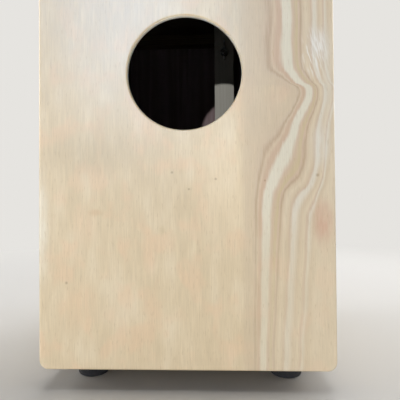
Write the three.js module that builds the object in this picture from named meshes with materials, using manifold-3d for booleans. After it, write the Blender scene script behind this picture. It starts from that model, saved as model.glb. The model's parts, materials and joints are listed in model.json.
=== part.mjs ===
// Pedal cajon: an upright box drum, with a steel plate for a kick pedal that slides out from under it.
// Millimetres, +Z up, standing on its feet at z = 0. The tapa, the sheet that is played, looks to -Y,
// and the back panel with the sound hole looks to +Y. Left (-X) and right (+X) are as seen from the front.
import * as THREE from 'three';
import { mergeVertices } from 'three/addons/utils/BufferGeometryUtils.js';
import Module from 'manifold-3d';

const wasm = await Module();
wasm.setup();

// Box
const boxWidth = 300;
const boxDepth = 300;
const boxHeight = 480;
const boardThickness = 12;
const tapaThickness = 3;
const backThickness = 5;
const boxCornerRadius = 9.5;
const backEdgeRound = 3;
const tapaEdgeRound = 1;

// Sound hole, its centre measured from the underside of the box
const soundHoleDiameter = 116;
const soundHoleHeight = 300;
const soundHoleRimRound = 2;

// Battens behind the tapa and three-cornered fillets in the long inner corners
const battenSize = 18;
const filletLeg = 25;

// Countersunk screws that hold the tapa
const tapaScrewHeadDiameter = 7.5;
const tapaScrewShankDiameter = 3.6;
const tapaScrewLength = 17;
const tapaScrewSink = 0.2;
const tapaSideScrewShares = [-1 / 2, -1 / 6, 1 / 6, 1 / 2];
const tapaEndScrewShares = [-0.18, 0.18];

// Rubber feet, each with a recess from below for its screw
const footHeight = 20;
const footTopDiameter = 42;
const footTipDiameter = 34;
const footTipRound = 2.5;
const footSideInset = 43;
const footEndInset = 45;
const footRecessDiameter = 14;
const footRecessDepth = 11;

// Pan-head screws of the feet
const footScrewHeadDiameter = 10;
const footScrewHeadHeight = 3;
const footScrewShankDiameter = 4.5;
const footScrewLength = 18;

// Snare post, between the bottom and the top board
const postWidth = 30;
const postDepth = 15;
const postSideOffset = 47;
const postSetback = 75;

// Snare carrier, the strip that slides on two bolts through the post
const carrierWidth = 22;
const carrierDepth = 12;
const carrierHeight = 205;
const carrierTopGap = 15;
const carrierBoltInset = 30;

// Snare wires: strands between two end plates, just clear of the tapa
const snareClearance = 0.6;
const strandDiameter = 2.2;
const strandPitch = 2.5;
const strandSink = 0.4;
const strandOverlap = 6;
const endPlateHeight = 16;
const endPlateThickness = 1.2;
const endPlateScrewInset = 5;
const strandCount = 8;

// Pan-head screws of the end plates
const snareScrewHeadDiameter = 5.5;
const snareScrewHeadHeight = 1.2;
const snareScrewShankDiameter = 2.6;
const snareScrewLength = 9;

// Carriage bolts, hexagon lock nuts and wing nuts of the snare carrier
const boltDiameter = 6;
const boltHeadDiameter = 13;
const boltHeadHeight = 2.8;
const boltEndLength = 7;
const lockNutAcrossFlats = 10;
const lockNutThickness = 5;
const wingNutHubDiameter = 12;
const wingNutTopDiameter = 10;
const wingNutHeight = 7;
const wingSpan = 29;
const wingRise = 13;
const wingThickness = 2.4;

// Pedal plate, the steel slide under the base
const plateLength = 140;
const plateThickness = 3;
const plateFrontGap = 2;
const plateTopGap = 1;
const plateCornerRadius = 6;
const plateTravel = 45;

// Hoop block, gripped with the plate by a kick pedal's clamp
const hoopBlockSideGap = 5.6;
const hoopBlockLength = 26;
const hoopBlockThickness = 10;
const hoopBlockCornerRadius = 5;
const hoopScrewInset = 15;
const hoopScrewHeadDiameter = 8;
const hoopScrewShankDiameter = 4;
const hoopScrewLength = 11;
const hoopScrewSink = 0.2;

// Folded rails that carry the pedal plate
const railLength = 120;
const railFrontGap = 4;
const railSteel = 1.5;
const railLip = 10;
const railFlange = 15;
const railSideGap = 0.6;
const railFootGap = 10.4;
const railScrewInset = 16;
const railScrewHeadDiameter = 7.5;
const railScrewHeadHeight = 2.3;
const railScrewShankDiameter = 4;
const railScrewLength = 11.5;

// Knurled lock screw through the plate's slot, and its threaded insert in the bottom board
const lockScrewDiameter = 6;
const lockScrewSetback = 60;
const lockScrewReach = 9;
const knobDiameter = 24;
const knobHeight = 9;
const knobGrooveDepth = 1.4;
const insertDiameter = 9.4;
const insertLength = 10.5;

// Clearances, and the overrun that every cutter has past the faces that it cuts
const fitGap = 0.3;
const boltClearance = 0.3;
const slotClearance = 0.4;
const overrun = 2;

// Facets of round forms
const holeSides = 72;
const footSides = 28;
const nutSides = 20;
const screwSides = 12;
const strandSides = 6;
const roundSteps = 3;
const cornerSteps = 4;
const knobLobes = 14;
const knobPointsPerLobe = 4;

// Planes that the pieces share
const boxBottom = footHeight;
const boxTop = boxBottom + boxHeight;
const boxMiddle = (boxBottom + boxTop) / 2;
const frontFace = -boxDepth / 2;
const backFace = boxDepth / 2;
const tapaInner = frontFace + tapaThickness;
const backInner = backFace - backThickness;
const carcassDepth = backInner - tapaInner;
const carcassMiddle = (backInner + tapaInner) / 2;
const insideX = boxWidth / 2 - boardThickness;
const floorTop = boxBottom + boardThickness;
const ceiling = boxTop - boardThickness;
const battenBack = tapaInner + battenSize;

// Widths under the base, where the feet leave room for the rails and the rails for the plate and its block
const railFootReach = footSideInset + footTopDiameter / 2 + railFootGap;
const plateWidth = boxWidth - 2 * (railFootReach + railFlange + railSideGap);
const hoopBlockWidth = plateWidth + 2 * (railSideGap - railLip - hoopBlockSideGap);
const hoopScrewSpacing = hoopBlockWidth - 2 * hoopScrewInset;

const pedalCajon = new THREE.Group();

const finishes = {
  paleWood: { color: '#dcc9a6', roughness: 0.45, metalness: 0 },
  seatWood: { color: '#dac6a2', roughness: 0.42, metalness: 0 },
  tapaWood: { color: '#8f5434', roughness: 0.4, metalness: 0 },
  innerWood: { color: '#cdb48a', roughness: 0.7, metalness: 0 },
  postWood: { color: '#d8cbb4', roughness: 0.65, metalness: 0 },
  hardwood: { color: '#a9773f', roughness: 0.5, metalness: 0 },
  rubber: { color: '#26262a', roughness: 0.85, metalness: 0 },
  zincSteel: { color: '#b9bcc0', roughness: 0.35, metalness: 1 },
  blackScrew: { color: '#2a2a2c', roughness: 0.45, metalness: 1 },
  blackSteel: { color: '#1d1e20', roughness: 0.5, metalness: 0.3 },
  snareSteel: { color: '#c9cbcd', roughness: 0.25, metalness: 1 },
  brass: { color: '#b8964e', roughness: 0.35, metalness: 1 },
};

// Adds one piece to the cajon, with a material of its own
function addPiece(name, geometry, finish, x = 0, y = 0, z = 0) {
  const piece = new THREE.Mesh(geometry, new THREE.MeshStandardMaterial(finishes[finish]));
  piece.name = name;
  piece.position.set(x, y, z);
  pedalCajon.add(piece);
  return piece;
}

// Turns a closed geometry into a manifold solid
function solidOf(geometry) {
  const bare = geometry.clone();
  bare.deleteAttribute('normal');
  bare.deleteAttribute('uv');
  const merged = mergeVertices(bare);
  const corners = merged.index.array;
  const kept = [];
  for (let i = 0; i < corners.length; i += 3) {
    const [a, b, c] = [corners[i], corners[i + 1], corners[i + 2]];
    if (a !== b && b !== c && c !== a) kept.push(a, b, c);
  }
  const vertProperties = new Float32Array(merged.attributes.position.array);
  return new wasm.Manifold(new wasm.Mesh({ numProp: 3, vertProperties, triVerts: new Uint32Array(kept) }));
}

// Turns a manifold solid back into a geometry
function geometryOf(solid) {
  const mesh = solid.getMesh();
  const geometry = new THREE.BufferGeometry();
  geometry.setAttribute('position', new THREE.BufferAttribute(mesh.vertProperties, 3));
  geometry.setIndex(new THREE.BufferAttribute(mesh.triVerts, 1));
  geometry.computeVertexNormals();
  return geometry;
}

// Cuts each of the cutters out of the body
function cut(geometry, cutters) {
  let solid = solidOf(geometry);
  for (const cutter of cutters) solid = solid.subtract(solidOf(cutter));
  return geometryOf(solid);
}

// Joins geometries that overlap into one
function join(geometries) {
  let solid = solidOf(geometries[0]);
  for (const next of geometries.slice(1)) solid = solid.add(solidOf(next));
  return geometryOf(solid);
}

// A round form about Z from a profile of [radius, height] pairs
function turned(profile, sides) {
  const points = profile.map(([radius, height]) => new THREE.Vector2(radius, height));
  return new THREE.LatheGeometry(points, sides).rotateX(Math.PI / 2);
}

// A rod along Z from one height to another
function rod(diameter, from, to, sides) {
  return turned([[0, from], [diameter / 2, from], [diameter / 2, to], [0, to]], sides);
}

// A rectangle with rounded corners, centred on zero
function roundedRectangle(width, height, radius) {
  const right = width / 2;
  const top = height / 2;
  const shape = new THREE.Shape();
  shape.absarc(right - radius, top - radius, radius, 0, Math.PI / 2);
  shape.absarc(radius - right, top - radius, radius, Math.PI / 2, Math.PI);
  shape.absarc(radius - right, radius - top, radius, Math.PI, 1.5 * Math.PI);
  shape.absarc(right - radius, radius - top, radius, 1.5 * Math.PI, 2 * Math.PI);
  shape.closePath();
  return shape;
}

// A shape drawn in X and Z, extruded along Y and centred on zero
function extrudedAlongY(shape, length) {
  const settings = { depth: length, bevelEnabled: false, curveSegments: cornerSteps };
  return new THREE.ExtrudeGeometry(shape, settings).translate(0, 0, -length / 2).rotateX(Math.PI / 2);
}

// A shape drawn in X and Y, extruded up from z = 0
function extrudedUp(shape, height) {
  return new THREE.ExtrudeGeometry(shape, { depth: height, bevelEnabled: false, curveSegments: cornerSteps });
}

// A large face sheet from z = 0 to its thickness, with a rounded edge round its upper face
function faceSheet(thickness, edgeRound) {
  const settings = {
    depth: thickness - edgeRound,
    bevelEnabled: true,
    bevelThickness: edgeRound,
    bevelSize: edgeRound,
    bevelOffset: -edgeRound,
    bevelSegments: roundSteps,
    curveSegments: cornerSteps,
  };
  const outline = roundedRectangle(boxWidth, boxHeight, boxCornerRadius);
  const sheet = new THREE.ExtrudeGeometry(outline, settings);
  const below = edgeRound + overrun;
  const innerBevel = new THREE.BoxGeometry(boxWidth + overrun, boxHeight + overrun, below);
  return cut(sheet, [innerBevel.translate(0, 0, -below / 2)]);
}

// A countersunk screw that points up, its head's top at z = 0. With a gap it is the hole for one,
// open above its head.
function countersunkForm(headDiameter, shankDiameter, length, gap = 0) {
  const headRadius = headDiameter / 2 + gap;
  const shankRadius = shankDiameter / 2 + gap;
  const mouth = gap > 0 ? -overrun : 0;
  const profile = [[0, mouth], [headRadius, mouth]];
  if (gap > 0) profile.push([headRadius, 0]);
  profile.push([shankRadius, headRadius - shankRadius]);
  profile.push([shankRadius, length - shankDiameter / 2 + gap], [0, length + gap]);
  return turned(profile, screwSides);
}

// A pan-head screw that points up, seated at z = 0
function panScrew(headDiameter, headHeight, shankDiameter, length) {
  const headRadius = headDiameter / 2;
  const shankRadius = shankDiameter / 2;
  const crown = headRadius - headHeight / 2;
  return turned([
    [0, -headHeight],
    [crown, -headHeight],
    [headRadius, -headHeight / 2],
    [headRadius, 0],
    [shankRadius, 0],
    [shankRadius, length - shankRadius],
    [0, length],
  ], screwSides);
}

// The hole for a pan-head screw's shank, open below z = 0
function shankHole(shankDiameter, length) {
  return rod(shankDiameter + 2 * fitGap, -overrun, length + fitGap, screwSides);
}

// Back panel with its sound hole, glued over the back edges of the boards
function addBackPanel() {
  const sheet = faceSheet(backThickness, backEdgeRound);
  const radius = soundHoleDiameter / 2;
  const profile = [[0, -overrun], [radius, -overrun]];
  for (let step = 0; step <= roundSteps; step += 1) {
    const angle = (step / roundSteps) * (Math.PI / 2);
    const flare = soundHoleRimRound * (1 - Math.cos(angle));
    profile.push([radius + flare, backThickness - soundHoleRimRound * (1 - Math.sin(angle))]);
  }
  profile.push([radius + soundHoleRimRound, backThickness + overrun], [0, backThickness + overrun]);
  const holeY = boxMiddle - (boxBottom + soundHoleHeight);
  const cutter = turned(profile, holeSides).translate(0, holeY, 0);
  const panel = cut(sheet, [cutter]).rotateX(-Math.PI / 2);
  addPiece('back_panel', panel, 'paleWood', 0, backInner, boxMiddle);
}

// Places of the tapa's screws, in X and Z
function tapaScrewPlaces() {
  const sideX = insideX - battenSize / 2;
  const endZ = boxHeight / 2 - boardThickness - battenSize / 2;
  const sideRun = 2 * endZ;
  const endRun = 2 * sideX;
  const places = [];
  for (const side of [-1, 1]) {
    const sideName = side < 0 ? 'left' : 'right';
    tapaSideScrewShares.forEach((share, i) => {
      places.push({ name: `tapa_screw_${sideName}_${i + 1}`, x: side * sideX, z: boxMiddle + share * sideRun });
    });
  }
  for (const end of [-1, 1]) {
    const endName = end < 0 ? 'bottom' : 'top';
    tapaEndScrewShares.forEach((share, i) => {
      places.push({ name: `tapa_screw_${endName}_${i + 1}`, x: share * endRun, z: boxMiddle + end * endZ });
    });
  }
  return places;
}

// Holes for the tapa's screws, in the frame of a piece that sits at (x, y, z)
function tapaScrewCutters(x, y, z, wanted) {
  return tapaScrewPlaces().filter(wanted).map((place) => {
    const form = countersunkForm(tapaScrewHeadDiameter, tapaScrewShankDiameter, tapaScrewLength, fitGap);
    const mouthY = frontFace + tapaScrewSink;
    return form.rotateX(-Math.PI / 2).translate(place.x - x, mouthY - y, place.z - z);
  });
}

// Tapa, screwed over the front edges of the boards
function addTapa() {
  const sheet = faceSheet(tapaThickness, tapaEdgeRound).rotateX(Math.PI / 2);
  const holes = tapaScrewCutters(0, tapaInner, boxMiddle, () => true);
  addPiece('tapa', cut(sheet, holes), 'tapaWood', 0, tapaInner, boxMiddle);
  for (const place of tapaScrewPlaces()) {
    const screw = countersunkForm(tapaScrewHeadDiameter, tapaScrewShankDiameter, tapaScrewLength);
    addPiece(place.name, screw.rotateX(-Math.PI / 2), 'blackScrew', place.x, frontFace + tapaScrewSink, place.z);
  }
}

// A full-width end board with its two long outer edges rounded. Side is 1 for the seat, -1 for the base.
function endBoard(side) {
  const right = boxWidth / 2;
  const outer = boardThickness / 2;
  const shape = new THREE.Shape();
  shape.moveTo(-right, -outer);
  shape.lineTo(right, -outer);
  shape.absarc(right - boxCornerRadius, outer - boxCornerRadius, boxCornerRadius, 0, Math.PI / 2);
  shape.absarc(boxCornerRadius - right, outer - boxCornerRadius, boxCornerRadius, Math.PI / 2, Math.PI);
  shape.closePath();
  const board = extrudedAlongY(shape, carcassDepth);
  return side > 0 ? board : board.rotateY(Math.PI);
}

// Places of the feet, in X and Y
function footPlaces() {
  const x = boxWidth / 2 - footSideInset;
  const y = boxDepth / 2 - footEndInset;
  return [
    { name: 'front_left', x: -x, y: -y },
    { name: 'front_right', x, y: -y },
    { name: 'back_left', x: -x, y },
    { name: 'back_right', x, y },
  ];
}

// Places of the rails' screws, in X and Y
const railFront = frontFace + railFrontGap;
const railWebInner = plateWidth / 2 + railSideGap;
const railScrewX = railWebInner + railSteel + (railFlange - railSteel) / 2;
function railScrewPlaces() {
  const places = [];
  for (const side of [-1, 1]) {
    const sideName = side < 0 ? 'left' : 'right';
    places.push({ name: `${sideName}_front`, x: side * railScrewX, y: railFront + railScrewInset });
    places.push({ name: `${sideName}_back`, x: side * railScrewX, y: railFront + railLength - railScrewInset });
  }
  return places;
}

// Boards, battens and fillets of the box
function addCarcass() {
  const seat = endBoard(1);
  addPiece('top_board', seat, 'seatWood', 0, carcassMiddle, boxTop - boardThickness / 2);

  const underside = -boardThickness / 2;
  const cutters = [];
  const footEmbed = footScrewLength - (footHeight - footRecessDepth);
  for (const place of footPlaces()) {
    cutters.push(shankHole(footScrewShankDiameter, footEmbed).translate(place.x, place.y - carcassMiddle, underside));
  }
  const railEmbed = railScrewLength - railSteel;
  for (const place of railScrewPlaces()) {
    cutters.push(shankHole(railScrewShankDiameter, railEmbed).translate(place.x, place.y - carcassMiddle, underside));
  }
  const insertHole = rod(insertDiameter + 2 * fitGap, -overrun, insertLength + fitGap, nutSides);
  cutters.push(insertHole.translate(0, frontFace + lockScrewSetback - carcassMiddle, underside));
  const base = cut(endBoard(-1), cutters);
  addPiece('bottom_board', base, 'paleWood', 0, carcassMiddle, boxBottom + boardThickness / 2);

  const insideHeight = ceiling - floorTop;
  const insideMiddle = (ceiling + floorTop) / 2;
  for (const side of [-1, 1]) {
    const sideName = side < 0 ? 'left' : 'right';
    const board = new THREE.BoxGeometry(boardThickness, carcassDepth, insideHeight);
    addPiece(`${sideName}_side`, board, 'paleWood', side * (insideX + boardThickness / 2), carcassMiddle, insideMiddle);

    const battenX = side * (insideX - battenSize / 2);
    const battenY = tapaInner + battenSize / 2;
    const batten = new THREE.BoxGeometry(battenSize, battenSize, insideHeight);
    const holes = tapaScrewCutters(battenX, battenY, insideMiddle, (place) => place.name.includes(sideName));
    addPiece(`front_batten_${sideName}`, cut(batten, holes), 'innerWood', battenX, battenY, insideMiddle);
  }
  for (const end of [-1, 1]) {
    const endName = end < 0 ? 'bottom' : 'top';
    const battenY = tapaInner + battenSize / 2;
    const battenZ = insideMiddle + end * (insideHeight / 2 - battenSize / 2);
    const batten = new THREE.BoxGeometry(2 * (insideX - battenSize), battenSize, battenSize);
    const holes = tapaScrewCutters(0, battenY, battenZ, (place) => place.name.includes(endName));
    addPiece(`front_batten_${endName}`, cut(batten, holes), 'innerWood', 0, battenY, battenZ);
  }

  const filletLength = backInner - battenBack;
  const filletMiddle = (backInner + battenBack) / 2;
  for (const side of [-1, 1]) {
    for (const end of [-1, 1]) {
      const shape = new THREE.Shape();
      shape.moveTo(0, 0);
      shape.lineTo(-side * filletLeg, 0);
      shape.lineTo(0, -end * filletLeg);
      shape.closePath();
      const name = `corner_fillet_${end < 0 ? 'bottom' : 'top'}_${side < 0 ? 'left' : 'right'}`;
      const cornerZ = end < 0 ? floorTop : ceiling;
      addPiece(name, extrudedAlongY(shape, filletLength), 'innerWood', side * insideX, filletMiddle, cornerZ);
    }
  }
}

// Feet and their screws
function addFeet() {
  const topRadius = footTopDiameter / 2;
  const tipRadius = footTipDiameter / 2;
  const boreRadius = footScrewShankDiameter / 2 + fitGap;
  const recessRadius = footRecessDiameter / 2;
  const profile = [[boreRadius, footHeight], [boreRadius, footRecessDepth]];
  profile.push([recessRadius, footRecessDepth], [recessRadius, 0]);
  for (let step = 0; step <= roundSteps; step += 1) {
    const angle = (step / roundSteps) * (Math.PI / 2);
    const edge = tipRadius - footTipRound + footTipRound * Math.sin(angle);
    profile.push([edge, footTipRound * (1 - Math.cos(angle))]);
  }
  profile.push([topRadius, footHeight], [boreRadius, footHeight]);
  for (const place of footPlaces()) {
    addPiece(`foot_${place.name}`, turned(profile, footSides), 'rubber', place.x, place.y, 0);
    const screw = panScrew(
      footScrewHeadDiameter,
      footScrewHeadHeight,
      footScrewShankDiameter,
      footScrewLength,
    );
    addPiece(`foot_screw_${place.name}`, screw, 'zincSteel', place.x, place.y, footRecessDepth);
  }
}

// Planes and places of the snare action
const postX = -postSideOffset;
const postFront = tapaInner + postSetback;
const postBack = postFront + postDepth;
const strandFront = tapaInner + snareClearance;
const endPlateFront = strandFront + strandDiameter - strandSink;
const carrierFront = endPlateFront + endPlateThickness;
const carrierBack = carrierFront + carrierDepth;
const carrierTop = ceiling - battenSize - carrierTopGap;
const carrierBottom = carrierTop - carrierHeight;
const carrierMiddle = (carrierTop + carrierBottom) / 2;
const boltPlaces = [
  { name: 'upper', z: carrierTop - carrierBoltInset },
  { name: 'lower', z: carrierBottom + carrierBoltInset },
];
const endPlatePlaces = [
  { name: 'upper', end: 1, z: carrierTop - endPlateHeight / 2, screwZ: carrierTop - endPlateScrewInset },
  { name: 'lower', end: -1, z: carrierBottom + endPlateHeight / 2, screwZ: carrierBottom + endPlateScrewInset },
];

// A wing nut about Z that stands up from z = 0
function wingNutGeometry() {
  const bore = boltDiameter / 2 + boltClearance;
  const hub = turned([
    [bore, 0],
    [wingNutHubDiameter / 2, 0],
    [wingNutTopDiameter / 2, wingNutHeight],
    [bore, wingNutHeight],
    [bore, 0],
  ], nutSides);
  const root = (bore + wingNutTopDiameter / 2) / 2;
  const tip = wingSpan / 2;
  const wingWidth = tip - root;
  const wings = [-1, 1].map((side) => {
    const shape = new THREE.Shape();
    shape.moveTo(side * root, wingNutHeight / 7);
    shape.lineTo(side * (root + wingWidth / 2), wingNutHeight / 5);
    shape.quadraticCurveTo(side * tip, wingNutHeight / 2, side * tip, wingRise * 0.8);
    shape.quadraticCurveTo(side * tip, wingRise, side * (tip - wingWidth / 5), wingRise);
    shape.quadraticCurveTo(side * (root + wingWidth / 2), wingRise, side * root, wingNutHeight * 0.9);
    shape.closePath();
    return extrudedAlongY(shape, wingThickness);
  });
  return join([hub, ...wings]);
}

// A hexagon nut about Z from z = 0 to its thickness
function lockNutGeometry() {
  const cornerRadius = lockNutAcrossFlats / Math.sqrt(3);
  const shape = new THREE.Shape();
  for (let corner = 0; corner < 6; corner += 1) {
    const angle = (corner / 6) * 2 * Math.PI;
    const x = cornerRadius * Math.cos(angle);
    const y = cornerRadius * Math.sin(angle);
    if (corner === 0) shape.moveTo(x, y);
    else shape.lineTo(x, y);
  }
  shape.closePath();
  const nut = extrudedUp(shape, lockNutThickness);
  const bore = rod(boltDiameter + 2 * boltClearance, -overrun, lockNutThickness + overrun, nutSides);
  return cut(nut, [bore]);
}

// Post, carrier, wires and the bolts that let the carrier slide
function addSnareAction() {
  const postHeight = ceiling - floorTop;
  const postMiddle = (ceiling + floorTop) / 2;
  const boltBore = boltDiameter + 2 * boltClearance;
  const postHoles = boltPlaces.map((place) => {
    const hole = rod(boltBore, -postDepth / 2 - overrun, postDepth / 2 + overrun, nutSides);
    return hole.rotateX(-Math.PI / 2).translate(0, 0, place.z - postMiddle);
  });
  const post = cut(new THREE.BoxGeometry(postWidth, postDepth, postHeight), postHoles);
  addPiece('snare_post', post, 'postWood', postX, (postFront + postBack) / 2, postMiddle);

  const headRadius = boltHeadDiameter / 2;
  const carrierHoles = boltPlaces.map((place) => {
    const hole = turned([
      [0, -overrun],
      [headRadius + fitGap, -overrun],
      [headRadius + fitGap, boltHeadHeight + 2 * fitGap],
      [boltBore / 2, boltHeadHeight + 2 * fitGap],
      [boltBore / 2, carrierDepth + overrun],
      [0, carrierDepth + overrun],
    ], nutSides);
    return hole.rotateX(-Math.PI / 2).translate(0, -carrierDepth / 2, place.z - carrierMiddle);
  });
  for (const place of endPlatePlaces) {
    const hole = shankHole(snareScrewShankDiameter, snareScrewLength - endPlateThickness).rotateX(-Math.PI / 2);
    carrierHoles.push(hole.translate(0, -carrierDepth / 2, place.screwZ - carrierMiddle));
  }
  const strip = new THREE.BoxGeometry(carrierWidth, carrierDepth, carrierHeight);
  const carrierY = (carrierFront + carrierBack) / 2;
  addPiece('snare_carrier', cut(strip, carrierHoles), 'innerWood', postX, carrierY, carrierMiddle);

  const strandBottom = carrierBottom + endPlateHeight - strandOverlap;
  const strandTop = carrierTop - endPlateHeight + strandOverlap;
  const wireForms = endPlatePlaces.map((place) => {
    const plate = new THREE.BoxGeometry(carrierWidth, endPlateThickness, endPlateHeight);
    return plate.translate(0, endPlateFront + endPlateThickness / 2, place.z);
  });
  for (let strand = 0; strand < strandCount; strand += 1) {
    const strandX = (strand - (strandCount - 1) / 2) * strandPitch;
    const form = rod(strandDiameter, strandBottom, strandTop, strandSides);
    wireForms.push(form.translate(strandX, strandFront + strandDiameter / 2, 0));
  }
  const plateHoles = endPlatePlaces.map((place) => {
    const hole = shankHole(snareScrewShankDiameter, snareScrewLength).rotateX(-Math.PI / 2);
    return hole.translate(0, endPlateFront, place.screwZ);
  });
  addPiece('snare_wires', cut(join(wireForms), plateHoles), 'snareSteel', postX, 0, 0);

  for (const place of endPlatePlaces) {
    const screw = panScrew(
      snareScrewHeadDiameter,
      snareScrewHeadHeight,
      snareScrewShankDiameter,
      snareScrewLength,
    );
    addPiece(`snare_screw_${place.name}`, screw.rotateX(-Math.PI / 2), 'zincSteel', postX, endPlateFront, place.screwZ);
  }

  const boltLength = postBack + wingNutHeight + boltEndLength - carrierFront;
  const boltChamfer = boltDiameter / 6;
  for (const place of boltPlaces) {
    const bolt = turned([
      [0, fitGap],
      [headRadius, fitGap],
      [headRadius, fitGap + boltHeadHeight],
      [boltDiameter / 2, fitGap + boltHeadHeight],
      [boltDiameter / 2, boltLength - boltChamfer],
      [boltDiameter / 2 - boltChamfer, boltLength],
      [0, boltLength],
    ], nutSides);
    addPiece(`snare_bolt_${place.name}`, bolt.rotateX(-Math.PI / 2), 'zincSteel', postX, carrierFront, place.z);

    const lockNut = lockNutGeometry().rotateX(Math.PI / 2);
    addPiece(`lock_nut_${place.name}`, lockNut, 'zincSteel', postX, postFront, place.z);

    const wingNut = wingNutGeometry().rotateZ(Math.PI / 2).rotateX(-Math.PI / 2);
    addPiece(`wing_nut_${place.name}`, wingNut, 'zincSteel', postX, postBack, place.z);
  }
}

// Planes of the pedal plate
const plateTop = boxBottom - plateTopGap;
const plateBottom = plateTop - plateThickness;
const plateFront = frontFace + plateFrontGap;
const plateY = plateFront + plateLength / 2;
const lockScrewY = frontFace + lockScrewSetback;
const hoopBlockY = plateFront + hoopBlockLength / 2;
const hoopScrewXs = [-hoopScrewSpacing / 2, hoopScrewSpacing / 2];

// One rail: a flange against the base, a web beside the plate and a lip under it
function addRail(side) {
  const sideName = side < 0 ? 'left' : 'right';
  const lipTop = plateBottom - fitGap;
  const lipBottom = lipTop - railSteel;
  const webOuter = railWebInner + railSteel;
  const flangeEnd = railWebInner + railFlange;
  const outline = [
    [railWebInner - railLip, lipBottom],
    [webOuter, lipBottom],
    [webOuter, boxBottom - railSteel],
    [flangeEnd, boxBottom - railSteel],
    [flangeEnd, boxBottom],
    [railWebInner, boxBottom],
    [railWebInner, lipTop],
    [railWebInner - railLip, lipTop],
  ];
  const shape = new THREE.Shape(outline.map(([x, z]) => new THREE.Vector2(side * x, z)));
  const railY = railFront + railLength / 2;
  const holes = railScrewPlaces().filter((place) => place.name.startsWith(sideName)).map((place) => {
    const hole = rod(railScrewShankDiameter + 2 * fitGap, -railSteel - overrun, overrun, screwSides);
    return hole.translate(place.x, place.y - railY, boxBottom);
  });
  addPiece(`plate_rail_${sideName}`, cut(extrudedAlongY(shape, railLength), holes), 'blackSteel', 0, railY, 0);
}

// Pedal plate, hoop block, rails and lock screw
function addPedalPlate() {
  const outline = roundedRectangle(plateWidth, plateLength, plateCornerRadius);
  const slotRadius = lockScrewDiameter / 2 + slotClearance;
  const slotStart = lockScrewY - plateY;
  const slotEnd = slotStart + plateTravel;
  const slot = new THREE.Path();
  slot.absarc(0, slotEnd, slotRadius, 0, Math.PI);
  slot.absarc(0, slotStart, slotRadius, Math.PI, 2 * Math.PI);
  slot.closePath();
  outline.holes.push(slot);
  const hoopCutter = (x, y, z) => {
    const form = countersunkForm(hoopScrewHeadDiameter, hoopScrewShankDiameter, hoopScrewLength, fitGap);
    return form.rotateX(Math.PI).translate(x, y, z);
  };
  const plateCuts = hoopScrewXs.map((x) => hoopCutter(x, hoopBlockY - plateY, plateThickness - hoopScrewSink));
  addPiece('pedal_plate', cut(extrudedUp(outline, plateThickness), plateCuts), 'blackSteel', 0, plateY, plateBottom);

  const block = extrudedUp(
    roundedRectangle(hoopBlockWidth, hoopBlockLength, hoopBlockCornerRadius),
    hoopBlockThickness,
  );
  const headLevel = hoopBlockThickness + plateThickness - hoopScrewSink;
  const blockCuts = hoopScrewXs.map((x) => hoopCutter(x, 0, headLevel));
  addPiece('hoop_block', cut(block, blockCuts), 'hardwood', 0, hoopBlockY, plateBottom - hoopBlockThickness);
  hoopScrewXs.forEach((x) => {
    const screw = countersunkForm(hoopScrewHeadDiameter, hoopScrewShankDiameter, hoopScrewLength).rotateX(Math.PI);
    const name = `hoop_screw_${x < 0 ? 'left' : 'right'}`;
    addPiece(name, screw, 'zincSteel', x, hoopBlockY, plateTop - hoopScrewSink);
  });

  addRail(-1);
  addRail(1);
  for (const place of railScrewPlaces()) {
    const screw = panScrew(
      railScrewHeadDiameter,
      railScrewHeadHeight,
      railScrewShankDiameter,
      railScrewLength,
    );
    addPiece(`rail_screw_${place.name}`, screw, 'zincSteel', place.x, place.y, boxBottom - railSteel);
  }

  const knob = new THREE.Shape();
  const knobPoints = knobLobes * knobPointsPerLobe;
  for (let i = 0; i < knobPoints; i += 1) {
    const angle = (i / knobPoints) * 2 * Math.PI;
    const radius = knobDiameter / 2 - (knobGrooveDepth / 2) * (1 - Math.cos(knobLobes * angle));
    if (i === 0) knob.moveTo(radius, 0);
    else knob.lineTo(radius * Math.cos(angle), radius * Math.sin(angle));
  }
  knob.closePath();
  const knobTop = plateBottom - fitGap;
  const shankTop = boxBottom + lockScrewReach;
  const shank = rod(lockScrewDiameter, -knobHeight / 2, shankTop - knobTop, nutSides);
  const lockScrew = join([extrudedUp(knob, knobHeight).translate(0, 0, -knobHeight), shank]);
  addPiece('lock_screw', lockScrew, 'blackSteel', 0, lockScrewY, knobTop);

  const insertBore = lockScrewDiameter / 2 + fitGap;
  const insert = turned([
    [insertBore, 0],
    [insertDiameter / 2, 0],
    [insertDiameter / 2, insertLength],
    [insertBore, insertLength],
    [insertBore, 0],
  ], nutSides);
  addPiece('lock_insert', insert, 'brass', 0, lockScrewY, boxBottom);
}

addBackPanel();
addTapa();
addCarcass();
addFeet();
addSnareAction();
addPedalPlate();

export default pedalCajon;
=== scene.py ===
import json
from functools import partial
from math import atan2, cos, hypot, pi, radians, sin, sqrt

import bmesh
import bpy
from mathutils import Euler, Matrix, Vector


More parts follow.
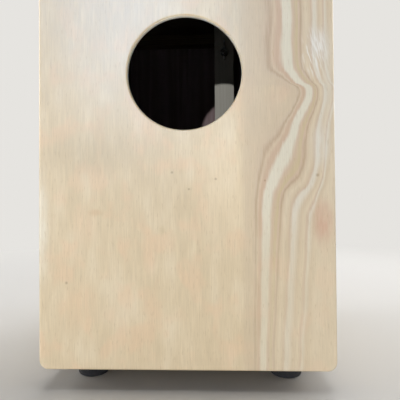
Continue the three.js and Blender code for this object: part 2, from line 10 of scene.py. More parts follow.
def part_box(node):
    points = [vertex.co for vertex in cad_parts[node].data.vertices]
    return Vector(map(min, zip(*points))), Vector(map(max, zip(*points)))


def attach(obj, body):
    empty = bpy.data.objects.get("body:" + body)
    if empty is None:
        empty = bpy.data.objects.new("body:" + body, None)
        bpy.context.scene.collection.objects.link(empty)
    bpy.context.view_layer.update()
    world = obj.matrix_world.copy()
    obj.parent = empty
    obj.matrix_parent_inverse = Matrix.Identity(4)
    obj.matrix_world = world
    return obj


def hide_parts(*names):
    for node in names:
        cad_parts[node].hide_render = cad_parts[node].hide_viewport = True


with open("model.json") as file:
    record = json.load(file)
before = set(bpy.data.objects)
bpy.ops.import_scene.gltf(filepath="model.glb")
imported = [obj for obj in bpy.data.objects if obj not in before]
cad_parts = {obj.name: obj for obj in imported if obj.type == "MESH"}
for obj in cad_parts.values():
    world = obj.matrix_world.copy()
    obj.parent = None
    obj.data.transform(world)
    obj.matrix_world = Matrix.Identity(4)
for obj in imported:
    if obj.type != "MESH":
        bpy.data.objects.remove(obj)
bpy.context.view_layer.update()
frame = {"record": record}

record = frame["record"]
bodyOf = {node: body for body, nodes in record["behaviour"]["bodies"].items() for node in nodes}
mm = 0.001
nearly = 0.001  # points this close count as one, in millimetres
smooth = {"interpolation_type": "SMOOTHSTEP"}  # a map range node that starts and ends softly


def linear(hexColour):
    # an sRGB hex colour as the linear one that the nodes take
    shares = [int(hexColour[i:i + 2], 16) / 255 for i in (1, 3, 5)]
    return (*[s / 12.92 if s <= 0.04045 else ((s + 0.055) / 1.055) ** 2.4 for s in shares], 1)


def fillSockets(node, inputs):
    # sets or links a node's inputs, given by name or in order
    for name, value in inputs.items() if isinstance(inputs, dict) else enumerate(inputs):
        if isinstance(value, bpy.types.NodeSocket):
            node.id_data.links.new(value, node.inputs[name])
        else:
            node.inputs[name].default_value = linear(value) if isinstance(value, str) else value


def addNode(tree, kind, inputs=(), ends=(), between=(), **settings):
    # adds a node with its settings, values and links, and gives its first live output. A word after
    # the kind is its operation. A colour ramp and a curve take their two end points first.
    kind, _, operation = kind.partition(" ")
    node = tree.nodes.new("ShaderNode" + kind)
    if operation:
        node.operation = operation
    for name, value in settings.items():
        setattr(node, name, value)
    fillSockets(node, inputs)
    if kind == "ValToRGB":
        stops = node.color_ramp.elements
        for stop, (position, colour) in zip([stops[0], stops[1]], ends):
            stop.position, stop.color = position, linear(colour)
        for position, colour in between:
            stops.new(position).color = linear(colour)
    if kind == "FloatCurve":
        curve = node.mapping.curves[0].points
        for point, location in zip([curve[0], curve[1]], ends):
            point.location = location
        for location in between:
            curve.new(*location)
        node.mapping.update()
    return next(socket for socket in node.outputs if socket.enabled)


def startMaterial(name):
    material = bpy.data.materials.new(name)
    material.use_nodes = True
    tree = material.node_tree
    return material, partial(addNode, tree), tree.nodes["Principled BSDF"]


def millimetres(add):
    # the place on the object, in millimetres
    place = add("TexCoord").node.outputs["Object"]
    return add("VectorMath SCALE", {0: place, "Scale": 1 / mm})


def grain(add, plane, size, seed, detail=2.0):
    # noise drawn out along the grain, size is the width and the length of its features in millimetres
    drawn = add("VectorMath MULTIPLY", [plane, (1 / size[0], 1 / size[1], seed)])
    return add("TexNoise", {"Vector": drawn, "Scale": 1, "Detail": detail})


# Figure of the back panel, with painted shade and a painted highlight among its soft patches: u is
# millimetres from the hole's centre towards the wavy band, z is height
figure = {
    # how far the band swings out at each height, the lowest and the highest first
    "swing": [(20, -11), (500, 29), (36, -9.3), (53, -9), (64, -7.9), (80, -6), (104, -4.8),
              (134, -2.5), (165, -0.6), (182, 1), (195, 3.2), (205, 8), (226, 16), (246, 22.6),
              (256, 26.6), (266, 29.6), (276, 34.5), (286, 40.2), (292, 43), (298, 44), (307, 34.5),
              (317, 26.8), (327, 22.8), (347, 22.6), (365, 23.4), (395, 23), (430, 24.5), (470, 27.2)],
    "swingLow": -12, "swingHigh": 50,
    # below the bend the outer lines stay out: u, z, half width, half height, millimetres
    "bulge": (124, 217, 22, 36, 8),
    # u where the swing begins and where it is full, and the same for its being held back
    "reach": (54, 107), "hold": (124, 150), "heldBack": 0.4,
    # uneven lines: width, length and size of the waves, seed
    "waves": [(60, 150, 1.6, 4.1), (13, 40, 1.2, 7.7), (1.3, 24, 1.5, 6.3)],
    "bandEdge": (53, 64), "bandShare": 0.85,
    "paints": {"plain": "#c8b69d", "tan": "#ccba9f", "light": "#d6c7ae", "cream": "#dad5c3",
               "olive": "#c4b38e", "rosy": "#c7b099", "pink": "#c3a890", "brown": "#b39a81",
               "pale": "#d8d1c2"},
    # the two ends of the band first
    "lines": [(50, "plain"), (150, "light"), (66, "tan"), (69, "plain"), (70.8, "brown"),
              (72.4, "tan"), (74, "pink"), (75.8, "pink"), (78, "cream"), (84, "cream"), (86.6, "rosy"),
              (90.5, "olive"), (92.5, "rosy"), (94.2, "brown"), (96, "tan"), (99.5, "light"),
              (103.2, "tan"), (105, "rosy"), (107, "pale"), (110, "pale"), (114.5, "tan"),
              (119.5, "light"), (122, "rosy"), (124, "pale"), (127.5, "tan"), (133, "light")],
    # the band has only the share of its strength below the first height, and all above the second
    "faint": (110, 200, 0.6),
    # soft patches: u, z, half width, half height, colour, strength; three of them are painted light and
    # shade, as marked below
    # painted shade: the wood greyer and darker at the top right of the hole, where less light falls
    "patches": [(52, 375, 26, 70, "#c8bca6", 0.6),
                (88, 290, 10, 14, "#c9ad96", 0.4), (-98, 240, 54, 26, "#c6b596", 0.6),
                (-102, 165, 14, 22, "#e4c9aa", 0.5), (-36, 137, 8, 22, "#e2c3a2", 0.6),
                (-108, 85, 20, 26, "#e3c6a4", 0.5), (-67, 78, 30, 18, "#e1d0b4", 0.5),
                # the second patch on the next line is painted shade: the upper part darker, where less
                # light falls
                (35, 200, 26, 60, "#e2d0b2", 0.5), (-80, 410, 100, 120, "#cbbca3", 0.75),
                # the second patch on the next line is a painted highlight along the rounded left edge
                (84, 215, 10, 22, "#d6cbb2", 0.5), (-146, 165, 8, 60, "#ebe6d6", 0.6),
                (-91, 179, 9, 4, "#cfae86", 0.5), (-23, 161, 3, 5, "#c4ae84", 0.5)],
    # the same over the band
    "bandPatches": [(137, 168, 11, 24, "#c9a28a", 0.8), (134, 345, 12, 20, "#dedad4", 0.5),
                    (136, 246, 10, 24, "#dcd9cf", 0.6), (143, 310, 6, 60, "#d9d4c6", 0.5),
                    (98, 300, 12, 12, "#c6ac96", 0.4)],
    # the patches' edges fray along the grain: size and seed of the noise, and how it becomes a share
    "frayMm": (5, 24), "fraySeed": 9.1, "frayNoise": (0.35, 0.6), "frayLeast": 0.55,
    # a patch or knot is full up to the first share of its half size, and gone beyond the second
    "spotFade": (0.2, 1.3),
    # pin knots: u, z, radius
    "knots": [(-13, 219, 1.0), (4, 202, 0.9), (31, 212, 1.0), (132, 215, 1.3), (-121, 108, 1.1),
              (80, 210, 0.8)],
    "knotColour": "#8f7352", "knotSpread": 1.5, "knotShare": 0.5,
    # pale strokes beside the band's bend: u, z, half width, half height, strength, and the strokes' lean
    "flames": (131, 336, 14, 27, 0.9), "flameLean": -14, "flameColour": "#e9e6df",
    "strokeMm": (1.7, 15), "strokeSeed": 3.3, "strokeNoise": (0.48, 0.62),
    "fibreShade": (0.955, 1.035),
}
fibreNoise = (0.3, 0.7)  # fine noise lies between these, nearly all of it


def bendBand(add, u, z):
    # takes the swing out of u, so that the band's lines can be painted as if they were straight
    low, high = figure["swingLow"], figure["swingHigh"]
    foot, top = figure["swing"][0][0], figure["swing"][1][0]
    height = add("MapRange", [z, foot, top])
    points = [((level - foot) / (top - foot), (swing - low) / (high - low))
              for level, swing in figure["swing"]]
    curve = add("FloatCurve", {1: height}, ends=points[:2], between=points[2:])
    swing = add("MapRange", [curve, 0, 1, low, high])
    reach = add("MapRange", [u, *figure["reach"]], **smooth)
    hold = add("MapRange", [u, *figure["hold"], 1, 1 - figure["heldBack"]], **smooth)
    reach = add("Math MULTIPLY", [reach, hold])
    swing = add("Math MULTIPLY", [swing, reach])
    bent = add("Math SUBTRACT", [u, swing])
    plane = add("CombineXYZ", [u, z, 1])
    bulge = softSpot(add, plane, *figure["bulge"])
    bent = add("Math SUBTRACT", [bent, bulge])
    for width, length, size, seed in figure["waves"]:
        wave = grain(add, plane, (width, length), seed)
        bent = add("Math MULTIPLY_ADD", [wave, 2 * size, bent])
        bent = add("Math SUBTRACT", [bent, size])
    return bent


def softSpot(add, plane, u, z, width, height, strength):
    # strength at u and z, fading out towards the half width and half height
    offset = add("VectorMath SUBTRACT", [plane, (u, z, 1)])
    scaled = add("VectorMath MULTIPLY", [offset, (1 / width, 1 / height, 0)])
    far = add("VectorMath LENGTH", [scaled]).node.outputs["Value"]
    return add("MapRange", [far, *figure["spotFade"], strength, 0], **smooth)


def paintFigure(add, place, colour, fibre):
    # the band's lines and pale strokes, soft patches, among them painted shade and a painted highlight,
    # and pin knots, over the plain veneer's colour
    u = add("Math MULTIPLY", [place["X"], -1])
    plane = add("CombineXYZ", [u, place["Z"], 1])
    fray = grain(add, plane, figure["frayMm"], figure["fraySeed"])
    edge = add("MapRange", [fray, *figure["frayNoise"], figure["frayLeast"], 1])
    bent = bendBand(add, u, place["Z"])
    first, last = figure["lines"][0][0], figure["lines"][1][0]
    stops = [((v - first) / (last - first), figure["paints"][paint]) for v, paint in figure["lines"]]
    along = add("MapRange", [bent, first, last])
    lines = add("ValToRGB", [along], ends=stops[:2], between=stops[2:])
    band = add("MapRange", [bent, *figure["bandEdge"], 0, figure["bandShare"]], **smooth)
    faint = add("MapRange", [place["Z"], *figure["faint"]], **smooth)
    band = add("Math MULTIPLY", [band, faint])
    for patches in ("patches", "bandPatches"):
        if patches == "bandPatches":
            colour = add("Mix", {0: band, 6: colour, 7: lines}, data_type="RGBA")
        for across, z, width, height, paint, strength in figure[patches]:
            spot = softSpot(add, plane, across, z, width, height, strength)
            spot = add("Math MULTIPLY", [spot, edge])
            colour = add("Mix", {0: spot, 6: colour, 7: paint}, data_type="RGBA")
    leaning = add("VectorRotate", {"Vector": plane, "Angle": radians(figure["flameLean"])},
                  rotation_type="Z_AXIS")
    strokes = grain(add, leaning, figure["strokeMm"], figure["strokeSeed"], 1)
    strokes = add("MapRange", [strokes, *figure["strokeNoise"]])
    spot = softSpot(add, plane, *figure["flames"])
    strokes = add("Math MULTIPLY", [strokes, spot])
    colour = add("Mix", {0: strokes, 6: colour, 7: figure["flameColour"]}, data_type="RGBA")
    for across, z, radius in figure["knots"]:
        spread = figure["knotSpread"] * radius
        spot = softSpot(add, plane, across, z, spread, spread, figure["knotShare"])
        colour = add("Mix", {0: spot, 6: colour, 7: figure["knotColour"]}, data_type="RGBA")
    shade = add("MapRange", [fibre, *fibreNoise, *figure["fibreShade"]])
    return add("VectorMath SCALE", {0: colour, "Scale": shade})


# What all the woods share: where a growth ring starts to end, where noise begins and is full as blush
# and as vessels, how strongly the crossed plies show, the glue line's width in plies and its strength,
# the depth at which the first glue may show, the spread of roughness, the relief, and the index of
# refraction of wood and lacquer
woodwork = {
    "ringEnd": 0.82, "blushNoise": (0.48, 0.66), "vesselNoise": (0.62, 0.74), "crossShare": 0.8,
    "glueWidth": (0.02, 0.1), "glueShare": 0.45, "glueMm": (0.3, 0.5), "sheen": (-0.05, 0.06),
    "vesselDepth": -2, "reliefMm": 0.15, "ior": 1.5,
}


def veneer(name, wood):
    # one pattern for all the woods: contour lines of slow noise for the growth rings, fine fibres,
    # cloudy patches, short dark vessels, and plies that show where an edge is cut or rounded
    material, add, shader = startMaterial(name)
    split = add("SeparateXYZ", [millimetres(add)]).node
    place = {letter: split.outputs[letter] for letter in "XYZ"}
    plane = add("CombineXYZ", [place[wood["across"]], place[wood["along"]], 1])
    seed = wood["seed"]  # each noise adds a number of its own
    slow = grain(add, plane, wood["figureMm"], seed, 1.2)
    rings = add("Math MULTIPLY", [slow, wood["rings"]])
    # each ring darkens slowly and ends at once
    rings = add("Math FRACT", [rings])
    ending = add("MapRange", [rings, woodwork["ringEnd"], 1, 1, 0])
    rings = add("Math MULTIPLY", [rings, ending])
    fibre = grain(add, plane, wood["fibreMm"], seed + 2.3, 3)
    cloud = grain(add, plane, wood["cloudMm"], seed + 5.9, 1)
    tone = add("Math MULTIPLY", [rings, wood["ringShare"]])
    tone = add("Math MULTIPLY_ADD", [fibre, wood["fibreShare"], tone])
    tone = add("Math MULTIPLY_ADD", [cloud, wood["cloudShare"], tone])
    middle = (wood["ringShare"] + wood["fibreShare"] + wood["cloudShare"]) / 2
    level = add("MapRange", [tone, middle - wood["toneWidth"], middle + wood["toneWidth"]], **smooth)
    dark, base, light = wood["colours"]
    colour = add("ValToRGB", [level], ends=[(0, dark), (1, light)], between=[(0.5, base)])
    if "blush" in wood:
        warm = grain(add, plane, wood["blushMm"], seed + 4.4)
        warm = add("MapRange", [warm, *woodwork["blushNoise"], 0, wood["blushShare"]], **smooth)
        colour = add("Mix", {0: warm, 6: colour, 7: wood["blush"]}, data_type="RGBA")
    if wood.get("figured"):
        colour = paintFigure(add, place, colour, fibre)
    vessel = grain(add, plane, wood["vesselMm"], seed + 8.2, 1)
    pores = add("MapRange", [vessel, *woodwork["vesselNoise"], 0, wood["vesselShare"]], **smooth)
    colour = add("Mix", {0: pores, 6: colour, 7: wood["vesselColour"]}, data_type="RGBA")
    if "ply" in wood:
        ply = wood["ply"]
        depth = add("Math SUBTRACT", [place[ply["axis"]], ply["face"]])
        depth = add("Math ABSOLUTE", [depth])
        layer = add("Math DIVIDE", [depth, ply["sheetMm"]])
        # every second ply lies across the others, and a thin dark line of glue parts them
        count = add("Math FLOOR", [layer])
        odd = add("Math MODULO", [count, 2])
        cross = add("Math MULTIPLY", [odd, woodwork["crossShare"]])
        colour = add("Mix", {0: cross, 6: colour, 7: ply["crossColour"]}, data_type="RGBA")
        glue = add("Math PINGPONG", [layer, 0.5])
        glue = add("MapRange", [glue, *woodwork["glueWidth"], woodwork["glueShare"], 0], **smooth)
        below = add("MapRange", [depth, *woodwork["glueMm"]])
        glue = add("Math MULTIPLY", [glue, below])
        colour = add("Mix", {0: glue, 6: colour, 7: ply["glueColour"]}, data_type="RGBA")
    gloss = [wood["roughness"] + spread for spread in woodwork["sheen"]]
    roughness = add("MapRange", [fibre, *fibreNoise, *gloss])
    height = add("Math MULTIPLY_ADD", [pores, woodwork["vesselDepth"], fibre])
    bump = add("Bump", {"Height": height, "Strength": wood["bump"],
                        "Distance": woodwork["reliefMm"] * mm})
    fillSockets(shader, {"Base Color": colour, "Roughness": roughness, "Normal": bump,
                         "IOR": woodwork["ior"], "Coat Weight": wood["coat"],
                         "Coat Roughness": wood["coatRoughness"]})
    if "soakMm" in wood:
        fillSockets(shader, {"Subsurface Weight": 1, "Subsurface Radius": wood["soakRadius"],
                             "Subsurface Scale": wood["soakMm"] * mm})
    return material


def evenFinish(name, look):
    # a finish without grain: two colours in slow patches, and a fine texture in its gloss and bump
    material, add, shader = startMaterial(name)
    place = millimetres(add)
    patches = add("TexNoise", {"Vector": place, "Scale": 1 / look["patchMm"], "Detail": 3})
    texture = add("TexNoise", {"Vector": place, "Scale": 1 / look["textureMm"], "Detail": 2})
    dark, light = look["colours"]
    colour = add("ValToRGB", [patches], ends=[(0.35, dark), (0.65, light)])
    roughness = add("MapRange", [texture, *fibreNoise, *look["roughness"]])
    # its relief is a fifth as deep as it is wide
    bump = add("Bump", {"Height": texture, "Strength": look["bump"],
                        "Distance": look["textureMm"] * mm / 5})
    fillSockets(shader, {"Base Color": colour, "Roughness": roughness, "Normal": bump,
                         "Metallic": look["metallic"]})
    return material


# Rotary-cut birch plywood, sanded and clear lacquered: pale and creamy, with soft cloudy figure and a
# satin gloss. Its fibres are about 0.1 mm wide, and drawn 1.2 mm wide so that they show.
paleBirch = {
    "along": "Z", "across": "Y", "seed": 1.7, "colours": ("#d3c09f", "#dac8a8", "#e2d3b7"),
    "figureMm": (90, 420), "rings": 7, "ringShare": 0.25, "fibreMm": (1.2, 26), "fibreShare": 0.3,
    "cloudMm": (16, 44), "cloudShare": 0.6, "toneWidth": 0.3, "vesselMm": (1.1, 9),
    "vesselShare": 0.28, "vesselColour": "#b39a74", "blush": "#e2c4a3", "blushMm": (26, 34),
    "blushShare": 0.5, "roughness": 0.42, "bump": 0.2, "coat": 0.35, "coatRoughness": 0.3,
}
panelPly = {"axis": "Y", "face": 150, "sheetMm": 1.0, "crossColour": "#c8b18a", "glueColour": "#a88f66"}
panelWood = {**paleBirch, "across": "X", "figured": True, "figureMm": (60, 380), "ringShare": 0.1,
             "ply": panelPly}
panelBirch = veneer("rotary-cut birch veneer, figured, satin lacquer", panelWood)
# Light soaks a few millimetres into pale wood, and leaves it again at the rim and the wall of the hole.
# The wall of the hole and its plies are painted paler than the panel's face: painted light, since the
# wall faces away from the lamps and would otherwise show darker than the face
soaked = {"soakMm": 4, "soakRadius": (1, 0.9, 0.75)}
rimBirch = veneer("birch veneer, rounded rim of the hole", {**panelWood, **soaked})
holeWallPaintedLight = veneer("birch plywood, sanded wall of the hole, sealed", {
    **paleBirch, **soaked, "across": "X", "colours": ("#ece3d0", "#f2eada", "#f7f1e4"),
    "vesselShare": 0.1, "blushShare": 0.1,
    "ply": {**panelPly, "crossColour": "#f3ebd8", "glueColour": "#e4d6b8"}})
# The sides and the seat show more figure
boardBirch = {**paleBirch, "figureMm": (46, 330), "rings": 9, "cloudShare": 0.35, "blushShare": 0.22}
sideBirch = veneer("birch plywood, upright grain, satin lacquer", {
    **boardBirch, "colours": ("#d0bb97", "#dac8a7", "#e2d4b8"), "ringShare": 0.42, "fibreShare": 0.35})
boardPly = {"axis": "Z", "sheetMm": 1.34, "crossColour": "#b8966a", "glueColour": "#8d6f4a"}
# The seat is rubbed duller by the player's clothes
seatBirch = veneer("birch plywood, seat, dull lacquer", {
    **boardBirch, "along": "X", "seed": 3.1, "ringShare": 0.5, "roughness": 0.6, "coat": 0.0,
    "ply": {**boardPly, "face": 500}})
baseBirch = veneer("birch plywood, base, satin lacquer", {
    **paleBirch, "along": "X", "seed": 6.4, "ply": {**boardPly, "face": 20}})

# Bare inner faces of the plywood, unsanded and without gloss. Their colours are painted shade: a dark
# brown, far darker than the pale birch is, standing in for the dim inside of the box
shadedInnerPly = {
    **paleBirch, "colours": ("#3f3328", "#4b3e30", "#58493a"), "vesselColour": "#33281d",
    "blush": "#5c4a38", "roughness": 0.8, "coat": 0.0, "bump": 0.4,
}
shadedInnerUpright = veneer("bare plywood, upright grain", shadedInnerPly)
shadedInnerLevel = veneer("bare plywood, level grain", {**shadedInnerPly, "along": "X", "seed": 5.2})

# Quarter-cut sapele veneer, clear lacquered: reddish brown ribbons that change as the grain
# interlocks, short dark pores and more gloss than the birch
tapaVeneer = {
    "along": "Z", "across": "X", "seed": 2.9, "colours": ("#6e3b22", "#8a4f2f", "#a4653d"),
    "figureMm": (26, 900), "rings": 5, "ringShare": 0.45, "fibreMm": (1.5, 30), "fibreShare": 0.5,
    "cloudMm": (60, 160), "cloudShare": 0.35, "toneWidth": 0.36, "vesselMm": (1.1, 8),
    "vesselShare": 0.55, "vesselColour": "#4c2615", "roughness": 0.36, "bump": 0.25, "coat": 0.4,
    "coatRoughness": 0.22,
}
tapaSapele = veneer("quarter-cut sapele veneer, satin lacquer", {
    **tapaVeneer, "ply": {"axis": "Y", "face": -150, "sheetMm": 1.0, "crossColour": "#7d5738",
                          "glueColour": "#4a2b1a"}})
tapaInner = veneer("sapele veneer, bare inner face", {
    **tapaVeneer, "colours": ("#71615f", "#7f7072", "#8c7e82"), "vesselColour": "#64524f",
    "roughness": 0.75, "coat": 0.0})

# Planed spruce, bare: straight growth lines about 3 mm apart, matt. Its colours are painted shade, a
# dark brown far darker than the pale wood is, standing in for the dim inside of the box
spruce = {
    "along": "Z", "across": "Y", "seed": 8.8, "colours": ("#46392a", "#5a4a34", "#6a5840"),
    "figureMm": (30, 700), "rings": 16, "ringShare": 0.6, "fibreMm": (1.0, 40), "fibreShare": 0.3,
    "cloudMm": (30, 100), "cloudShare": 0.2, "toneWidth": 0.35, "vesselMm": (1.0, 5),
    "vesselShare": 0.1, "vesselColour": "#3d3021", "roughness": 0.75, "bump": 0.35, "coat": 0.0,
    "coatRoughness": 0.3,
}
shadedSpruceUpright = veneer("planed spruce, upright", spruce)
shadedSpruceLevel = veneer("planed spruce, level", {**spruce, "along": "X", "across": "Z"})
shadedSpruceDeep = veneer("planed spruce, front to back", {**spruce, "along": "Y", "across": "X"})
# Poplar post, planed and bare: a greyish wood with hardly any figure
postPoplar = veneer("planed poplar, bare", {
    **spruce, "across": "X", "colours": ("#959289", "#a09d94", "#a9a69d"), "rings": 7,
    "ringShare": 0.2, "vesselColour": "#858178"})
# Steamed beech, oiled: pinkish tan with short dark flecks, a low sheen
blockBeech = veneer("steamed beech, oiled", {
    **spruce, "along": "X", "across": "Y", "colours": ("#a3693f", "#b87d52", "#c78f64"), "rings": 6,
    "figureMm": (20, 160), "ringShare": 0.3, "vesselMm": (0.9, 4.5), "vesselShare": 0.5,
    "vesselColour": "#7c4a2b", "roughness": 0.5, "coat": 0.15})

# Moulded rubber: near black, matt, with a faint bloom
footRubber = evenFinish("moulded rubber", {
    "colours": ("#1f1f21", "#2a2a2c"), "patchMm": 14, "textureMm": 0.9, "roughness": (0.72, 0.9),
    "bump": 0.35, "metallic": 0})
# Bright zinc plating: cool silver that clouds a little, satin
zincSteel = evenFinish("zinc plated steel", {
    "colours": ("#a9adb1", "#c4c7c9"), "patchMm": 5, "textureMm": 0.7, "roughness": (0.25, 0.42),
    "bump": 0.12, "metallic": 1})
# Black oxide on screws: dark brownish grey metal with a dull gloss
blackOxide = evenFinish("black oxide steel", {
    "colours": ("#2b2a2a", "#3c3a39"), "patchMm": 3, "textureMm": 0.6, "roughness": (0.3, 0.48),
    "bump": 0.15, "metallic": 1})
# Black powder coat: even black with an orange-peel skin of about 1 mm
powderCoat = evenFinish("black powder coat", {
    "colours": ("#191a1b", "#212223"), "patchMm": 30, "textureMm": 1.1, "roughness": (0.42, 0.56),
    "bump": 0.5, "metallic": 0})
# Drawn and nickel plated steel wire: bright and warm
snareSteel = evenFinish("nickel plated steel wire", {
    "colours": ("#bdbab2", "#d0cdc6"), "patchMm": 8, "textureMm": 0.5, "roughness": (0.18, 0.3),
    "bump": 0.08, "metallic": 1})
# Turned brass, unlacquered: yellow metal that has gone a little brown
turnedBrass = evenFinish("turned brass", {
    "colours": ("#a5823c", "#c2a258"), "patchMm": 4, "textureMm": 0.5, "roughness": (0.28, 0.42),
    "bump": 0.12, "metallic": 1})
print("Materials made:", len(bpy.data.materials))


def nodeBox(node):
    # a node's lowest and highest corner in millimetres, in which all pieces are shaped
    low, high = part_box(node)
    return low / mm, high / mm


def nodeMiddle(node):
    low, high = nodeBox(node)
    return (low + high) / 2


def nodesNamed(start):
    return [node for node in bodyOf if node.startswith(start)]


def middlesOf(start):
    return [nodeMiddle(node) for node in nodesNamed(start)]


def vertsOf(items):
    return [item for item in items if isinstance(item, bmesh.types.BMVert)]


def addBlock(bm, low, high):
    cube = bmesh.ops.create_cube(bm, size=1)["verts"]
    bmesh.ops.scale(bm, vec=high - low, verts=cube)
    bmesh.ops.translate(bm, vec=(low + high) / 2, verts=cube)
    return cube


def startBlock(node):
    bm = bmesh.new()
    addBlock(bm, *nodeBox(node))
    return bm


def edgesAlong(bm, axis):
    return [edge for edge in bm.edges
            if abs((edge.verts[1].co - edge.verts[0].co).normalized()[axis]) > 0.999]


def flatAt(items, axis, levels):
    # the edges or faces that lie wholly at one of the levels
    return [item for item in items
            if any(all(abs(vert.co[axis] - level) < nearly for vert in item.verts) for level in levels)]


def roundEdges(bm, edges, radius, steps):
    bmesh.ops.bevel(bm, geom=edges, offset=radius, offset_type="OFFSET", affect="EDGES",
                    segments=steps, profile=0.5, material=-1)


def startSheet(node, axis, levels, sheet):
    # a block with rounded corners, and with rounded edges at the levels
    bm = startBlock(node)
    roundEdges(bm, edgesAlong(bm, axis), sheet["cornerRadius"], sheet["cornerSteps"])
    roundEdges(bm, flatAt(bm.edges, axis, levels), sheet["edgeRound"], sheet["edgeSteps"])
    return bm


def startStick(node, radius):
    # a block with all its edges rounded, in two steps
    bm = startBlock(node)
    roundEdges(bm, bm.edges[:], radius, 2)
    return bm


def raiseFaces(bm, faces, way):
    raised = bmesh.ops.extrude_face_region(bm, geom=faces)["geom"]
    bmesh.ops.translate(bm, vec=way, verts=vertsOf(raised))


def turnLine(bm, points, steps, centre=(0, 0, 0), axis=2, closed=False):
    # turns a line of radius and height points about an axis through the centre
    along = Vector([float(i == axis) for i in range(3)])
    foot = Vector(centre)
    foot[axis] = 0
    line = [bm.verts.new(foot + Vector((radius, 0, 0)) + along * height) for radius, height in points]
    pairs = list(zip(line, line[1:])) + ([(line[-1], line[0])] if closed else [])
    edges = [bm.edges.new(pair) for pair in pairs]
    bmesh.ops.spin(bm, geom=line + edges, cent=foot, axis=along, angle=2 * pi, steps=steps,
                   use_merge=True)


def sunkHole(hole, face, back):
    # the line of a hole from the face to the back, with room for a countersunk head at the face
    head, shank = hole["headRadius"], hole["shankRadius"]
    way = 1 if back > face else -1
    sunk = face + way * hole["sink"]
    return [(head, face), (head, sunk), (shank, sunk + way * (head - shank)), (shank, back)]


def drill(bm, axis, line, centres, steps):
    # lets holes into a solid: its two flat faces across the axis go, and are filled again around them
    levels = [pick(vert.co[axis] for vert in bm.verts) for pick in (min, max)]
    bmesh.ops.delete(bm, geom=flatAt(bm.faces, axis, levels), context="FACES_ONLY")
    for centre in centres:
        turnLine(bm, line, steps, centre, axis)
    for level in levels:
        edges = [edge for edge in flatAt(bm.edges, axis, [level]) if edge.is_boundary]
        bmesh.ops.triangle_fill(bm, use_beauty=True, edges=edges)


def closeHoles(bm):
    bmesh.ops.holes_fill(bm, edges=[edge for edge in bm.edges if edge.is_boundary], sides=0)


def markInner(bm, direction):
    # the faces that look into the box take the second material, whose dark colour is painted shade
    bm.normal_update()
    for face in bm.faces:
        if face.normal.dot(Vector(direction)) > 0.95:
            face.material_index = 1


def pieceName(node):
    first, *others = node.split("_")
    return first + "".join(word.capitalize() for word in others)


def turnOutwards(bm):
    # a shell with a pointed end, such as a screw's thread, can come out of the operator inside out
    bmesh.ops.recalc_face_normals(bm, faces=bm.faces)
    left = set(bm.faces)
    while left:
        shell, fresh = [], [left.pop()]
        while fresh:
            face = fresh.pop()
            shell.append(face)
            near = left.intersection(other for edge in face.edges for other in edge.link_faces)
            left -= near
            fresh += near
        volume = sum(face.normal.dot(face.calc_center_median()) * face.calc_area() for face in shell)
        if volume < 0:
            bmesh.ops.reverse_faces(bm, faces=shell)


def addObject(name, data):
    made = bpy.data.objects.new(name, data)
    bpy.context.scene.collection.objects.link(made)
    return made


def finishPiece(bm, node, materials, sharpFrom=35, evenFaces=True):
    # closes seams, turns faces outwards, goes to metres, and puts the piece on its node's body
    bmesh.ops.remove_doubles(bm, verts=bm.verts, dist=nearly / 2)
    turnOutwards(bm)
    bmesh.ops.scale(bm, vec=(mm, mm, mm), verts=bm.verts)
    mesh = bpy.data.meshes.new(pieceName(node))
    bm.to_mesh(mesh)
    bm.free()
    for material in materials:
        mesh.materials.append(material)
    mesh.shade_smooth()
    mesh.set_sharp_from_angle(angle=radians(sharpFrom))
    piece = addObject(mesh.name, mesh)
    if evenFaces:
        piece.modifiers.new("flat faces stay flat", "WEIGHTED_NORMAL").keep_sharp = True
    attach(piece, bodyOf[node])
    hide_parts(node)
    return piece


def addBackPanel():
    panel = {"cornerRadius": 9.5, "cornerSteps": 10, "edgeRound": 3, "edgeSteps": 8, "holeRadius": 58,
             "holeHeight": 320, "holeSteps": 144, "rimRound": 2, "rimSteps": 8, "rimVeneer": 1}
    low, high = nodeBox("back_panel")
    bm = startSheet("back_panel", 1, [high.y], panel)
    radius, rim = panel["holeRadius"], panel["rimRound"]
    wall = [(radius, low.y)]
    for step in range(panel["rimSteps"] + 1):
        turn = step / panel["rimSteps"] * pi / 2
        wall.append((radius + rim * (1 - cos(turn)), high.y - rim * (1 - sin(turn))))
    drill(bm, 1, wall, [(0, 0, panel["holeHeight"])], panel["holeSteps"])
    # the face's veneer covers the first millimetre of the rim, and the plies show below it in the wall's
    # paler colours, which are painted light
    for face in bm.faces:
        middle = face.calc_center_median()
        away = hypot(middle.x, middle.z - panel["holeHeight"])
        if away < radius + rim and middle.y < high.y - nearly:
            face.material_index = 2 if middle.y > high.y - panel["rimVeneer"] else 3
    # the inner face takes the inner plywood, whose dark colour is painted shade
    for face in flatAt(bm.faces, 1, [low.y]):
        face.material_index = 1
    finishPiece(bm, "back_panel", [panelBirch, shadedInnerUpright, rimBirch, holeWallPaintedLight])


def addTapa():
    tapa = {"cornerRadius": 9.5, "cornerSteps": 10, "edgeRound": 1, "edgeSteps": 4, "headRadius": 4.05,
            "shankRadius": 2.1, "sink": 0.2, "holeSteps": 32}
    low, high = nodeBox("tapa")
    bm = startSheet("tapa", 1, [low.y], tapa)
    drill(bm, 1, sunkHole(tapa, low.y, high.y), middlesOf("tapa_screw"), tapa["holeSteps"])
    for face in flatAt(bm.faces, 1, [high.y]):
        face.material_index = 1
    finishPiece(bm, "tapa", [tapaSapele, tapaInner])


